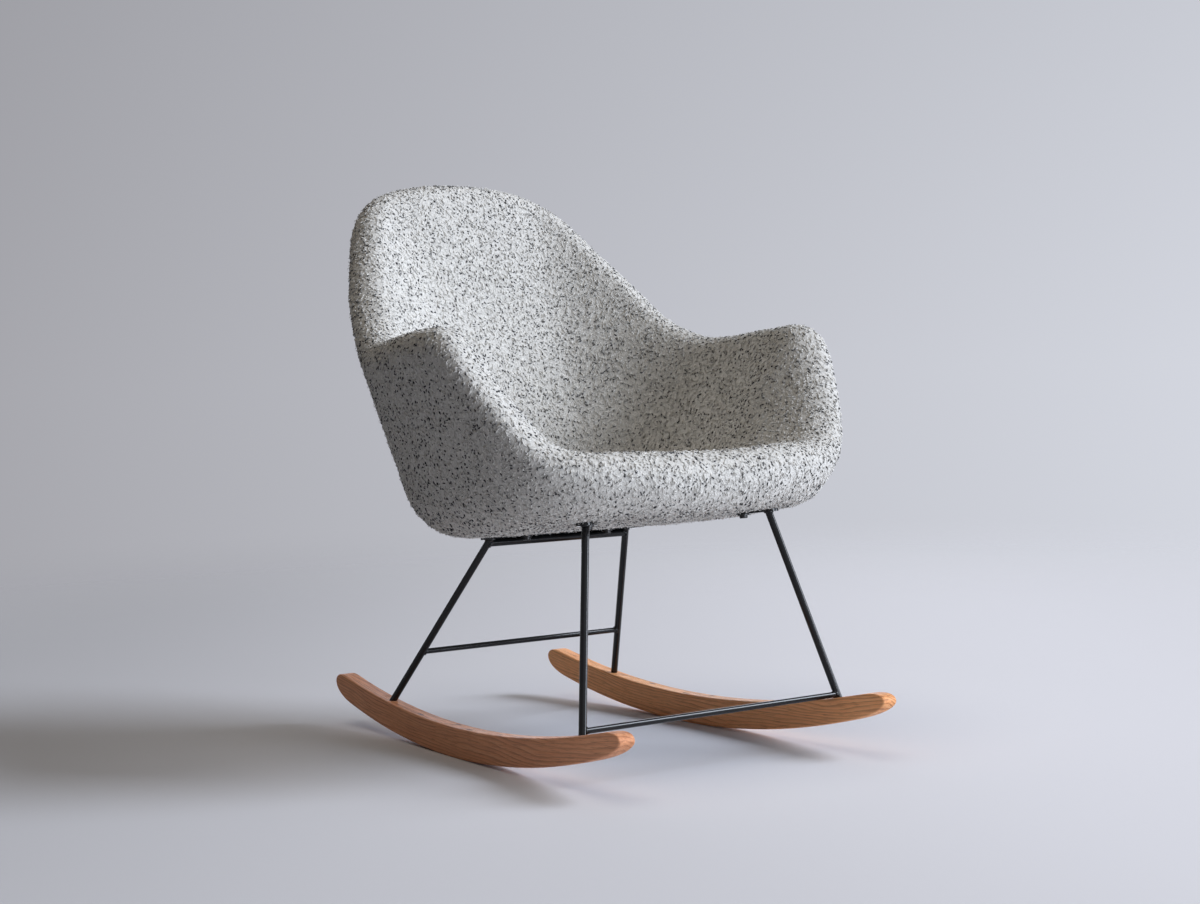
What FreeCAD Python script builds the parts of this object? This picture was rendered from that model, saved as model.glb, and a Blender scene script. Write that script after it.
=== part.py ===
import FreeCAD, Part
import math
import os

# Upholstered rocking chair: a padded bucket seat on a steel rod base with two oak rockers.
# Millimetres, +Z up, +X to the sitter's left, the chair faces -Y.
# The origin is on the floor, midway between the rockers and midway along their length.

V = FreeCAD.Vector

# Rockers
ROCKER_LENGTH = 758.0
ROCKER_SPACING = 398.0
ROCKER_TOE = 1.6
ROCKER_WIDTH = 24.0
ROCKER_RADIUS = 1344.0
ROCKER_DEPTH = 41.0
FRONT_TIP_DEPTH = 28.0
FRONT_NOSE_RISE = 12.0
FRONT_TOP_RUN = 45.0
FRONT_LOW_RUN = 65.0
REAR_TIP_DEPTH = 33.0
REAR_NOSE_RISE = 17.0
REAR_TOP_RUN = 32.0
REAR_LOW_RUN = 45.0
NOSE_FULLNESS = 0.62
ROCKER_EDGE = 2.5
CONTACT_Y = 31.0

# Steel rods of the base
LEG_ROD = 10.0
STRETCHER_ROD = 8.0
FRONT_FOOT_SETBACK = 97.5
REAR_FOOT_SETBACK = 161.0
REAR_STRETCHER_RISE = 72.0
STRETCHER_CLEARANCE = 0.4

# Threaded stud of each leg, through its rocker
STUD_DIA = 6.0
STUD_CLEARANCE = 0.2
STUD_COUNTERBORE_DIA = 15.0
STUD_COUNTERBORE_DEPTH = 12.0
STUD_NUT_FLATS = 10.0
STUD_NUT_HEIGHT = 5.0
STUD_WASHER_DIA = 13.0
STUD_WASHER_THICK = 1.2
STUD_TAIL = 1.0

# Place of the seat: its axis meets the underside at SEAT_AXIS_Y and SEAT_HEIGHT
SEAT_TILT = 7.0
SEAT_AXIS_Y = -38.5
SEAT_HEIGHT = 302.5

# Leg tops and mounting plates, in the tilted plane of the seat's underside
FRONT_TOP_X = 150.0
FRONT_TOP_Y = -177.0
REAR_TOP_X = 117.0
REAR_TOP_Y = 114.0
PLATE_THICK = 4.0
FRONT_PLATE_WIDTH = 24.0
FRONT_BOLT_REACH = 36.0
REAR_STRIP_WIDTH = 44.0
REAR_STRIP_OVERHANG = 10.0
REAR_STRIP_CORNER = 6.0
REAR_BOLT_X = 68.0
REAR_BOLT_INSET = 14.0

# Seat bolts, spacers and nuts
BOLT_DIA = 6.0
BOLT_CLEARANCE = 0.3
BOLT_HEAD_DIA = 11.0
BOLT_HEAD_HEIGHT = 4.0
BOLT_HEAD_EDGE = 1.2
BOLT_SOCKET_FLATS = 4.0
BOLT_SOCKET_DEPTH = 2.2
BOLT_WASHER_DIA = 16.0
BOLT_WASHER_THICK = 1.4
SPACER_DIA = 24.0
NUT_BARREL_DIA = 8.6
NUT_FLANGE_DIA = 20.0
NUT_FLANGE_THICK = 1.6
NUT_THREAD_CLEARANCE = 0.1

# Layers of the bucket, from its outer surface inwards
COVER_THICK = 3.0
OUTER_FOAM_THICK = 9.0
SHELL_WALL = 8.0
LAYER_CLEARANCE = 0.4
SEAT_THICK = 52.0
HUB_RADIUS = 50.0
HUB_OVERLAP = 6.0
SMALLEST_BEND = 2.0

# Rim of the bucket around the seat's axis, from the front (0 degrees) to the back (180):
# reach is measured out from the axis and crest up from the underside
LIP_REACH = 302.0
LIP_CREST = 76.0
LIP_SIDE_ANGLE = 24.0
LIP_SIDE_REACH = 324.0
LIP_SIDE_CREST = 80.0
CORNER_ANGLE = 42.0
CORNER_REACH = 358.0
CORNER_CREST = 90.0
SWEEP_ANGLE = 55.0
SWEEP_REACH = 360.0
SWEEP_CREST = 160.0
ARM_FRONT_ANGLE = 68.0
ARM_FRONT_REACH = 354.0
ARM_FRONT_CREST = 256.0
ARM_MID_ANGLE = 82.0
ARM_MID_REACH = 338.0
ARM_MID_CREST = 263.0
ARM_REAR_ANGLE = 100.0
ARM_REAR_REACH = 323.0
ARM_REAR_CREST = 266.0
WAIST_ANGLE = 118.0
WAIST_REACH = 320.0
WAIST_CREST = 305.0
WING_ANGLE = 136.0
WING_REACH = 340.0
WING_CREST = 402.0
SHOULDER_ANGLE = 154.0
SHOULDER_REACH = 368.0
SHOULDER_CREST = 508.0
CROWN_ANGLE = 168.0
CROWN_REACH = 356.0
CROWN_CREST = 534.0
BACK_REACH = 351.0
BACK_CREST = 538.0

# Thickness of the rim, reach of the underside's corner and the bends, by angle
RIM_ROUND = 34.0
LIP_RIM = 76.0
CORNER_RIM = 65.0
ARM_RIM = 58.0
BACK_RIM = 60.0
LIP_FOOT = 256.0
CORNER_FOOT = 284.0
SIDE_FOOT = 248.0
QUARTER_FOOT = 242.0
BACK_FOOT = 212.0
LIP_FOOT_BEND = 30.0
CORNER_FOOT_BEND = 56.0
SIDE_FOOT_BEND = 80.0
BACK_FOOT_BEND = 88.0
LIP_FLOOR = 130.0
SIDE_FLOOR = 164.0
BACK_FLOOR = 165.0
FLOOR_BEND = 100.0

# Splits of the inner foam: a level above the underside, and a line behind the seat's axis
FOAM_SPLIT_CREST = 100.0
FOAM_SPLIT_Y = 95.0

# Sections around the seat's axis
SECTION_COUNT = 48


def smooth_through(knots, values, held=False):
    """A smooth curve through values at knots, level at both ends; a held one never passes a value."""
    count = len(knots)
    step = [knots[i + 1] - knots[i] for i in range(count - 1)]
    rise = [(values[i + 1] - values[i]) / step[i] for i in range(count - 1)]
    slope = [0.0] * count
    for i in range(1, count - 1):
        slope[i] = (rise[i - 1] * step[i] + rise[i] * step[i - 1]) / (step[i - 1] + step[i])
        if held:
            limit = 3.0 * min(abs(rise[i - 1]), abs(rise[i])) if rise[i - 1] * rise[i] > 0.0 else 0.0
            slope[i] = max(-limit, min(limit, slope[i]))

    def curve(angle):
        i = 0
        while i < count - 2 and angle > knots[i + 1]:
            i += 1
        t = (angle - knots[i]) / step[i]
        blend = t * t * (3.0 - 2.0 * t)
        start = t * (1.0 - t) * (1.0 - t) * step[i]
        end = t * t * (t - 1.0) * step[i]
        return values[i] + (values[i + 1] - values[i]) * blend + slope[i] * start + slope[i + 1] * end

    return curve


RIM_ANGLES = [0.0, LIP_SIDE_ANGLE, CORNER_ANGLE, SWEEP_ANGLE, ARM_FRONT_ANGLE, ARM_MID_ANGLE,
              ARM_REAR_ANGLE, WAIST_ANGLE, WING_ANGLE, SHOULDER_ANGLE, CROWN_ANGLE, 180.0]
reach_at = smooth_through(RIM_ANGLES, [
    LIP_REACH, LIP_SIDE_REACH, CORNER_REACH, SWEEP_REACH, ARM_FRONT_REACH, ARM_MID_REACH,
    ARM_REAR_REACH, WAIST_REACH, WING_REACH, SHOULDER_REACH, CROWN_REACH, BACK_REACH])
crest_at = smooth_through(RIM_ANGLES, [
    LIP_CREST, LIP_SIDE_CREST, CORNER_CREST, SWEEP_CREST, ARM_FRONT_CREST, ARM_MID_CREST,
    ARM_REAR_CREST, WAIST_CREST, WING_CREST, SHOULDER_CREST, CROWN_CREST, BACK_CREST], held=True)
QUARTERS = [0.0, 45.0, 90.0, 135.0, 180.0]
FRONT_SIDE_BACK = [0.0, 50.0, 90.0, 180.0]
rim_at = smooth_through(FRONT_SIDE_BACK, [LIP_RIM, CORNER_RIM, ARM_RIM, BACK_RIM])
foot_at = smooth_through(QUARTERS, [LIP_FOOT, CORNER_FOOT, SIDE_FOOT, QUARTER_FOOT, BACK_FOOT])
foot_bend_at = smooth_through(
    FRONT_SIDE_BACK, [LIP_FOOT_BEND, CORNER_FOOT_BEND, SIDE_FOOT_BEND, BACK_FOOT_BEND])
floor_at = smooth_through([0.0, 90.0, 180.0], [LIP_FLOOR, SIDE_FLOOR, BACK_FLOOR])


def unit(vector):
    return vector * (1.0 / vector.Length)


def half_angle(before, corner, after):
    """Half of the angle at a corner between its two sides."""
    return (before - corner).getAngle(after - corner) / 2.0


def fillet_points(before, corner, after, radius):
    """Start, middle and end of the arc that rounds a corner."""
    half = half_angle(before, corner, after)
    to_before = unit(before - corner)
    to_after = unit(after - corner)
    trim = radius / math.tan(half)
    centre = corner + unit(to_before + to_after) * (radius / math.sin(half))
    middle = centre + unit(corner - centre) * radius
    return corner + to_before * trim, middle, corner + to_after * trim


def meet(point_a, along_a, point_b, along_b):
    """The point where two lines in the section's plane cross."""
    across = along_a.x * along_b.y - along_a.y * along_b.x
    gap = point_b - point_a
    return point_a + along_a * ((gap.x * along_b.y - gap.y * along_b.x) / across)


def left_of(along):
    return V(-along.y, along.x, 0)


class Section:
    """One half-plane section of the bucket, with x out from the axis and y up from the underside.

    Its corners run from the hub along the underside to the foot, up the outer wall, over the rim
    and down the inner wall to the floor of the seat, so the material is always to the left.
    """

    def __init__(self, angle):
        reach = reach_at(angle)
        crest = crest_at(angle)
        rim = rim_at(angle)
        self.corners = [V(HUB_RADIUS, 0, 0), V(foot_at(angle), 0, 0), V(reach, crest, 0),
                        V(reach - rim, crest, 0), V(floor_at(angle), SEAT_THICK, 0),
                        V(HUB_RADIUS, SEAT_THICK, 0)]
        hub, foot, outer, inner, floor, middle = self.corners
        half_outer = half_angle(foot, outer, inner)
        half_inner = half_angle(outer, inner, floor)
        trims = 1.0 / math.tan(half_outer) + 1.0 / math.tan(half_inner)
        self.round = min(RIM_ROUND, 0.94 * rim / trims)
        wall = (outer - foot).Length - self.round / math.tan(half_outer)
        lining = (inner - floor).Length - self.round / math.tan(half_inner)
        self.foot_bend = min(foot_bend_at(angle), 0.8 * wall * math.tan(half_angle(hub, foot, outer)))
        self.floor_bend = min(FLOOR_BEND, 0.9 * lining * math.tan(half_angle(inner, floor, middle)))
        self.up = unit(outer - foot)
        self.seam = outer - self.up * (self.round / math.tan(half_outer))

    def offset(self, depth):
        """The corners, moved into the material by depth."""
        sides = []
        for start, end in zip(self.corners, self.corners[1:]):
            along = unit(end - start)
            sides.append((start + left_of(along) * depth, along))
        moved = [V(HUB_RADIUS, depth, 0)]
        for first, second in zip(sides, sides[1:]):
            moved.append(meet(first[0], first[1], second[0], second[1]))
        moved.append(V(HUB_RADIUS, SEAT_THICK - depth, 0))
        return moved

    def seam_point(self, depth, below):
        return self.seam + left_of(self.up) * depth - self.up * below

    def outside(self, depth, below):
        """Underside and outer wall at depth, from the hub up to the seam under the rim."""
        hub, foot, outer = self.offset(depth)[:3]
        bend = fillet_points(hub, foot, outer, max(self.foot_bend - depth, SMALLEST_BEND))
        return [[hub, bend[0]], list(bend), [bend[2], self.seam_point(depth, below)]]

    def inside(self, depth):
        """Rim, inner wall and floor at depth, from the seam down to the hub."""
        _, foot, outer, inner, floor, middle = self.offset(depth)
        rim = max(self.round - depth, SMALLEST_BEND)
        first = fillet_points(foot, outer, inner, rim)
        second = fillet_points(outer, inner, floor, rim)
        bend = fillet_points(inner, floor, middle, self.floor_bend + depth)
        return [list(first), [first[2], second[0]], list(second), [second[2], bend[0]],
                list(bend), [bend[2], middle]]


def reverse(run):
    return [list(reversed(piece)) for piece in reversed(run)]


def closed_run(run):
    """Adds the straight pieces that join each end of a run to the next start."""
    joined = []
    for i, piece in enumerate(run):
        joined.append(piece)
        start = run[(i + 1) % len(run)][0]
        if (start - piece[-1]).Length > 1e-6:
            joined.append([piece[-1], start])
    return joined


def wire_at(run, angle):
    """A closed run of lines and arcs, stood up at an angle around the seat's axis."""
    out = V(math.sin(math.radians(angle)), -math.cos(math.radians(angle)), 0)
    edges = []
    for piece in closed_run(run):
        points = [out * p.x + V(0, 0, p.y) for p in piece]
        if len(points) == 3:
            edges.append(Part.Arc(points[0], points[1], points[2]).toShape())
        else:
            edges.append(Part.LineSegment(points[0], points[1]).toShape())
    return Part.Wire(edges)


SECTION_ANGLES = [360.0 * k / SECTION_COUNT for k in range(SECTION_COUNT)]
SECTIONS = [Section(angle if angle <= 180.0 else 360.0 - angle) for angle in SECTION_ANGLES]


def ring(run_of):
    """The solid swept around the seat's axis through one run of each section."""
    wires = [wire_at(run_of(section), angle) for section, angle in zip(SECTIONS, SECTION_ANGLES)]
    solid = Part.makeLoft(wires, True, False, True)
    if solid.ShapeType != "Solid":
        solid = Part.Solid(Part.Shell(solid.Faces))
    return solid


def hub_disc(low, high):
    return Part.makeCylinder(HUB_RADIUS + HUB_OVERLAP, high - low, V(0, 0, low))


def one_solid(shape):
    return shape.Solids[0] if len(shape.Solids) == 1 else shape


def group(solids):
    return Part.makeCompound(solids)


def box(low, high):
    return Part.makeBox(high.x - low.x, high.y - low.y, high.z - low.z, low)


def rod(start, end, diameter):
    along = end - start
    return Part.makeCylinder(diameter / 2.0, along.Length, start, along)


def mirrored(shape):
    return shape.mirror(V(0, 0, 0), V(1, 0, 0))


def hexagon(flats, height, base):
    """An upright hexagonal prism with its lower face at base."""
    corners = []
    for k in range(7):
        turn = math.radians(60.0 * k)
        corners.append(base + V(math.cos(turn), math.sin(turn), 0) * (flats / math.sqrt(3.0)))
    return Part.Face(Part.makePolygon(corners)).extrude(V(0, 0, height))


# The seat is modelled upright around its axis and then tilted back into place
SEAT_PLACE = FreeCAD.Placement(
    V(0, SEAT_AXIS_Y, SEAT_HEIGHT), FreeCAD.Rotation(V(1, 0, 0), -SEAT_TILT))


def seated(shape):
    placed = shape.copy()
    placed.transformShape(SEAT_PLACE.toMatrix())
    return placed


def seat_point(x, y, z):
    return SEAT_PLACE.multVec(V(x, y, z))


# Depths of the layers below the bucket's outer surface
FOAM_OUT = COVER_THICK + LAYER_CLEARANCE
SHELL_OUT = FOAM_OUT + OUTER_FOAM_THICK + LAYER_CLEARANCE
SHELL_IN = SHELL_OUT + SHELL_WALL
FOAM_IN = SHELL_IN + LAYER_CLEARANCE

# Levels of the mounting plates below the underside
PLATE_TOP = -LAYER_CLEARANCE
PLATE_LOW = PLATE_TOP - PLATE_THICK


def layer(outer_depth, inner_depth):
    """A layer of the underside and outer wall, closed at the hub."""
    body = ring(lambda s: s.outside(outer_depth, LAYER_CLEARANCE)
                + reverse(s.outside(inner_depth, LAYER_CLEARANCE)))
    return body.fuse(hub_disc(outer_depth, inner_depth))


outer_cover = layer(0.0, COVER_THICK)
outer_foam = layer(FOAM_OUT, SHELL_OUT - LAYER_CLEARANCE)
seat_shell = layer(SHELL_OUT, SHELL_IN)
inner_cover = ring(lambda s: s.inside(0.0) + reverse(s.inside(COVER_THICK))).fuse(
    hub_disc(SEAT_THICK - COVER_THICK, SEAT_THICK))
inner_foam = ring(lambda s: s.outside(FOAM_IN, 0.0) + s.inside(FOAM_OUT)).fuse(
    hub_disc(FOAM_IN, SEAT_THICK - FOAM_OUT))

# Bolts of the seat, in the tilted plane
front_top = V(FRONT_TOP_X, FRONT_TOP_Y, 0)
rear_top = V(REAR_TOP_X, REAR_TOP_Y, 0)
front_bolt = front_top - unit(front_top) * FRONT_BOLT_REACH
strip_back = REAR_TOP_Y + LEG_ROD / 2.0 + LAYER_CLEARANCE
strip_front = strip_back - REAR_STRIP_WIDTH
rear_bolt = V(REAR_BOLT_X, strip_front + REAR_BOLT_INSET, 0)
bolt_points = []
for point in (front_bolt, rear_bolt):
    bolt_points.append(point)
    bolt_points.append(V(-point.x, point.y, 0))


def at_bolts(radius, low, high):
    return [Part.makeCylinder(radius, high - low, V(p.x, p.y, low)) for p in bolt_points]


spacer_hole = SPACER_DIA / 2.0 + LAYER_CLEARANCE
bolt_hole = BOLT_DIA / 2.0 + BOLT_CLEARANCE
barrel_hole = NUT_BARREL_DIA / 2.0 + BOLT_CLEARANCE
flange_pocket = NUT_FLANGE_DIA / 2.0 + LAYER_CLEARANCE
flange_top = SHELL_IN + NUT_FLANGE_THICK

outer_cover = outer_cover.cut(group(at_bolts(spacer_hole, -1.0, COVER_THICK + LAYER_CLEARANCE / 2.0)))
outer_foam = outer_foam.cut(group(at_bolts(spacer_hole, COVER_THICK, SHELL_OUT)))
seat_shell = seat_shell.cut(group(at_bolts(barrel_hole, SHELL_OUT - 1.0, SHELL_IN + 1.0)))
inner_foam = inner_foam.cut(group(at_bolts(flange_pocket, FOAM_IN - 1.0, flange_top + LAYER_CLEARANCE)))

# Inner foam: a dished seat pad with the front lip, two arm pads and a back pad
half_gap = LAYER_CLEARANCE / 2.0
far = 2.0 * max(BACK_CREST, SHOULDER_REACH, CORNER_REACH)
seat_foam = inner_foam.common(box(V(-far, -far, -far), V(far, far, FOAM_SPLIT_CREST - half_gap)))
upper = FOAM_SPLIT_CREST + half_gap
back_foam = inner_foam.common(box(V(-far, FOAM_SPLIT_Y + half_gap, upper), V(far, far, far)))
left_arm_foam = inner_foam.common(box(V(0, -far, upper), V(far, FOAM_SPLIT_Y - half_gap, far)))
right_arm_foam = inner_foam.common(box(V(-far, -far, upper), V(0, FOAM_SPLIT_Y - half_gap, far)))

# Hardware at each seat bolt, from below: button head, washer, plate, rubber spacer, nut in the shell
head_low = PLATE_LOW - BOLT_WASHER_THICK - BOLT_HEAD_HEIGHT
t_nuts = []
seat_bolts = []
bolt_washers = []
rubber_spacers = []
for p in bolt_points:
    barrel = Part.makeCylinder(NUT_BARREL_DIA / 2.0, SHELL_WALL, V(p.x, p.y, SHELL_OUT))
    flange = Part.makeCylinder(NUT_FLANGE_DIA / 2.0, NUT_FLANGE_THICK, V(p.x, p.y, SHELL_IN))
    thread = Part.makeCylinder(
        BOLT_DIA / 2.0 + NUT_THREAD_CLEARANCE, SHELL_WALL + NUT_FLANGE_THICK, V(p.x, p.y, SHELL_OUT))
    t_nuts.append(barrel.fuse(flange).removeSplitter().cut(thread))
    head = Part.makeCylinder(BOLT_HEAD_DIA / 2.0, BOLT_HEAD_HEIGHT, V(p.x, p.y, head_low))
    low_edges = [e for e in head.Edges if e.BoundBox.ZMax < head_low + 0.1]
    head = head.makeFillet(BOLT_HEAD_EDGE, low_edges)
    shank = Part.makeCylinder(BOLT_DIA / 2.0, flange_top - head_low - 1.0, V(p.x, p.y, head_low + 1.0))
    key = hexagon(BOLT_SOCKET_FLATS, BOLT_SOCKET_DEPTH, V(p.x, p.y, head_low))
    seat_bolts.append(head.fuse(shank).removeSplitter().cut(key))
    washer_low = V(p.x, p.y, PLATE_LOW - BOLT_WASHER_THICK)
    washer = Part.makeCylinder(BOLT_WASHER_DIA / 2.0, BOLT_WASHER_THICK, washer_low)
    bolt_washers.append(washer.cut(Part.makeCylinder(bolt_hole, BOLT_WASHER_THICK, washer_low)))
    spacer = Part.makeCylinder(SPACER_DIA / 2.0, SHELL_OUT - PLATE_TOP, V(p.x, p.y, PLATE_TOP))
    rubber_spacers.append(spacer.cut(Part.makeCylinder(
        bolt_hole, SHELL_OUT - PLATE_TOP, V(p.x, p.y, PLATE_TOP))))

# Mounting plates: a round-ended plate on each front leg, and one strip across the rear legs
along = unit(front_top)
side = V(-along.y, along.x, 0) * (FRONT_PLATE_WIDTH / 2.0)
slab = Part.Face(Part.makePolygon(
    [front_top + side, front_top - side, front_bolt - side, front_bolt + side, front_top + side]))
front_plate = slab.extrude(V(0, 0, PLATE_THICK))
for end in (front_top, front_bolt):
    front_plate = front_plate.fuse(Part.makeCylinder(FRONT_PLATE_WIDTH / 2.0, PLATE_THICK, end))
front_plate = front_plate.removeSplitter()
front_plate.translate(V(0, 0, PLATE_LOW))
front_plate = one_solid(front_plate.cut(
    Part.makeCylinder(bolt_hole, PLATE_THICK + 2.0, V(front_bolt.x, front_bolt.y, PLATE_LOW - 1.0))))
front_leg_plates = group([front_plate, mirrored(front_plate)])

strip_end = REAR_TOP_X + REAR_STRIP_OVERHANG
rear_mount_strip = box(V(-strip_end, strip_front, PLATE_LOW), V(strip_end, strip_back, PLATE_TOP))
uprights = [e for e in rear_mount_strip.Edges if e.BoundBox.ZLength > 0.9 * PLATE_THICK]
rear_mount_strip = rear_mount_strip.makeFillet(REAR_STRIP_CORNER, uprights)
for x in (-REAR_BOLT_X, REAR_BOLT_X):
    rear_mount_strip = rear_mount_strip.cut(
        Part.makeCylinder(bolt_hole, PLATE_THICK + 2.0, V(x, rear_bolt.y, PLATE_LOW - 1.0)))

# Rockers: an arc underneath, a flatter arc on top, rounded tips and eased edges. Each is drawn
# straight and then turned, so that the pair stands wider in front
FRONT_TIP_Y = -ROCKER_LENGTH / 2.0
REAR_TIP_Y = ROCKER_LENGTH / 2.0
FRONT_FOOT_Y = FRONT_TIP_Y + FRONT_FOOT_SETBACK
REAR_FOOT_Y = REAR_TIP_Y - REAR_FOOT_SETBACK


def underside(y):
    """Height of a rocker's underside at y."""
    return ROCKER_RADIUS - math.sqrt(ROCKER_RADIUS ** 2 - (y - CONTACT_Y) ** 2)


ARC_CENTRE = V(0, CONTACT_Y, ROCKER_RADIUS)
low_front = V(0, FRONT_TIP_Y, underside(FRONT_TIP_Y))
low_rear = V(0, REAR_TIP_Y, underside(REAR_TIP_Y))
high_front = low_front + unit(ARC_CENTRE - low_front) * FRONT_TIP_DEPTH
high_rear = low_rear + unit(ARC_CENTRE - low_rear) * REAR_TIP_DEPTH
high_middle = V(0, CONTACT_Y, ROCKER_DEPTH)
top_circle = Part.Circle(high_front, high_middle, high_rear)
TOP_CENTRE = top_circle.Center
TOP_RADIUS = top_circle.Radius


def topside(y):
    """Height of a rocker's top at y."""
    return TOP_CENTRE.z - math.sqrt(TOP_RADIUS ** 2 - (y - TOP_CENTRE.y) ** 2)


def quarter(nose, start, centre):
    """Curve of the profile from the upright tip of a nose to where it runs into an arc about centre."""
    outward = start - centre
    along = V(0, outward.z, -outward.y)
    run = along * ((nose - start).y / along.y)
    reach = start + run * NOSE_FULLNESS
    rise = V(0, 0, (start + run).z - nose.z)
    curve = Part.BezierCurve()
    curve.setPoles([nose, nose + rise * NOSE_FULLNESS, reach, start])
    return curve.toShape()


front_nose = V(0, FRONT_TIP_Y, underside(FRONT_TIP_Y) + FRONT_NOSE_RISE)
rear_nose = V(0, REAR_TIP_Y, underside(REAR_TIP_Y) + REAR_NOSE_RISE)
front_low = V(0, FRONT_TIP_Y + FRONT_LOW_RUN, underside(FRONT_TIP_Y + FRONT_LOW_RUN))
front_high = V(0, FRONT_TIP_Y + FRONT_TOP_RUN, topside(FRONT_TIP_Y + FRONT_TOP_RUN))
rear_low = V(0, REAR_TIP_Y - REAR_LOW_RUN, underside(REAR_TIP_Y - REAR_LOW_RUN))
rear_high = V(0, REAR_TIP_Y - REAR_TOP_RUN, topside(REAR_TIP_Y - REAR_TOP_RUN))
profile = Part.Wire(Part.__sortEdges__([
    Part.Arc(front_low, V(0, CONTACT_Y, 0), rear_low).toShape(),
    quarter(rear_nose, rear_low, ARC_CENTRE),
    quarter(rear_nose, rear_high, TOP_CENTRE),
    Part.Arc(rear_high, high_middle, front_high).toShape(),
    quarter(front_nose, front_high, TOP_CENTRE),
    quarter(front_nose, front_low, ARC_CENTRE)]))
rocker = Part.Face(profile).extrude(V(ROCKER_WIDTH, 0, 0))
rocker = rocker.makeFillet(ROCKER_EDGE, [e for e in rocker.Edges if e.BoundBox.XLength < 0.001])
rocker.translate(V(-ROCKER_WIDTH / 2.0, 0, 0))
ROCKER_PLACE = FreeCAD.Placement(
    V(ROCKER_SPACING / 2.0, 0, 0), FreeCAD.Rotation(V(0, 0, 1), ROCKER_TOE))
rocker.transformShape(ROCKER_PLACE.toMatrix())


def on_rocker(y, height):
    """A point on the left rocker's middle line, y along it and at a height."""
    return ROCKER_PLACE.multVec(V(0, y, height))


# Legs: a straight rod from the rocker's top to its plate, with a threaded stud down through the rocker
LEG_TOP = PLATE_LOW - LEG_ROD / 2.0
above_plates = seated(box(V(-far, -far, PLATE_LOW), V(far, far, PLATE_LOW + 4.0 * LEG_ROD)))


def leg_axis(foot_y, top):
    """Foot on the rocker's top and upper end below the plate, on the sitter's left."""
    return on_rocker(foot_y, topside(foot_y)), seat_point(top.x, top.y, LEG_TOP)


def nut_seat(foot_y):
    """Height of the counterbore's shoulder in the rocker."""
    return underside(foot_y) + STUD_COUNTERBORE_DEPTH


def stud_low(foot_y):
    return nut_seat(foot_y) - STUD_WASHER_THICK - STUD_NUT_HEIGHT - STUD_TAIL


def leg(foot_y, top):
    foot, end = leg_axis(foot_y, top)
    reach = unit(end - foot)
    shaft = rod(foot - reach * LEG_ROD, end + reach * (2.0 * LEG_ROD), LEG_ROD)
    shaft = one_solid(shaft.cut(above_plates).cut(rocker))
    low = stud_low(foot_y)
    stud = Part.makeCylinder(STUD_DIA / 2.0, foot.z + LEG_ROD / 2.0 - low, V(foot.x, foot.y, low))
    return one_solid(shaft.fuse(stud))


def stud_hole(foot_y):
    hole = Part.makeCylinder(STUD_DIA / 2.0 + STUD_CLEARANCE, 2.0 * ROCKER_DEPTH, on_rocker(foot_y, 0.0))
    bore = Part.makeCylinder(
        STUD_COUNTERBORE_DIA / 2.0, nut_seat(foot_y) + 1.0, on_rocker(foot_y, -1.0))
    return hole.fuse(bore)


left_front_leg = leg(FRONT_FOOT_Y, front_top)
left_rear_leg = leg(REAR_FOOT_Y, rear_top)
right_front_leg = mirrored(left_front_leg)
right_rear_leg = mirrored(left_rear_leg)
left_rocker = one_solid(rocker.cut(stud_hole(FRONT_FOOT_Y)).cut(stud_hole(REAR_FOOT_Y)))
right_rocker = mirrored(left_rocker)

rocker_nuts = []
rocker_washers = []
for foot_y in (FRONT_FOOT_Y, REAR_FOOT_Y):
    washer_low = on_rocker(foot_y, nut_seat(foot_y) - STUD_WASHER_THICK)
    nut_low = washer_low - V(0, 0, STUD_NUT_HEIGHT)
    hole = Part.makeCylinder(
        STUD_DIA / 2.0 + STUD_CLEARANCE, STUD_WASHER_THICK + STUD_NUT_HEIGHT, nut_low)
    washer = Part.makeCylinder(STUD_WASHER_DIA / 2.0, STUD_WASHER_THICK, washer_low).cut(hole)
    nut = hexagon(STUD_NUT_FLATS, STUD_NUT_HEIGHT, nut_low).cut(hole)
    rocker_washers += [washer, mirrored(washer)]
    rocker_nuts += [nut, mirrored(nut)]


# Crosswise rods, coped to the legs that they meet
def point_on_leg(foot_y, top, rise):
    foot, end = leg_axis(foot_y, top)
    return foot + (end - foot) * (rise / (end.z - foot.z))


def cross_rod(point, diameter, legs):
    bar = rod(V(-point.x, point.y, point.z), point, diameter)
    return one_solid(bar.cut(group(legs)))


rear_legs = [left_rear_leg, right_rear_leg]
front_legs = [left_front_leg, right_front_leg]
front_rise = STRETCHER_ROD / 2.0 + STRETCHER_CLEARANCE
rear_stretcher = cross_rod(
    point_on_leg(REAR_FOOT_Y, rear_top, REAR_STRETCHER_RISE), STRETCHER_ROD, rear_legs)
front_stretcher = cross_rod(
    point_on_leg(FRONT_FOOT_Y, front_top, front_rise), STRETCHER_ROD, front_legs)
rear_cross_bar = cross_rod(seat_point(REAR_TOP_X, REAR_TOP_Y, LEG_TOP), LEG_ROD, rear_legs)

NODES = {
    "inner_cover": seated(inner_cover),
    "outer_cover": seated(outer_cover),
    "seat_foam": seated(seat_foam),
    "left_arm_foam": seated(left_arm_foam),
    "right_arm_foam": seated(right_arm_foam),
    "back_foam": seated(back_foam),
    "outer_foam": seated(outer_foam),
    "seat_shell": seated(seat_shell),
    "t_nuts": seated(group(t_nuts)),
    "seat_bolts": seated(group(seat_bolts)),
    "bolt_washers": seated(group(bolt_washers)),
    "rubber_spacers": seated(group(rubber_spacers)),
    "front_leg_plates": seated(front_leg_plates),
    "rear_mount_strip": seated(rear_mount_strip),
    "rear_cross_bar": rear_cross_bar,
    "left_front_leg": left_front_leg,
    "right_front_leg": right_front_leg,
    "left_rear_leg": left_rear_leg,
    "right_rear_leg": right_rear_leg,
    "front_stretcher": front_stretcher,
    "rear_stretcher": rear_stretcher,
    "left_rocker": left_rocker,
    "right_rocker": right_rocker,
    "rocker_nuts": group(rocker_nuts),
    "rocker_washers": group(rocker_washers),
}

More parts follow.
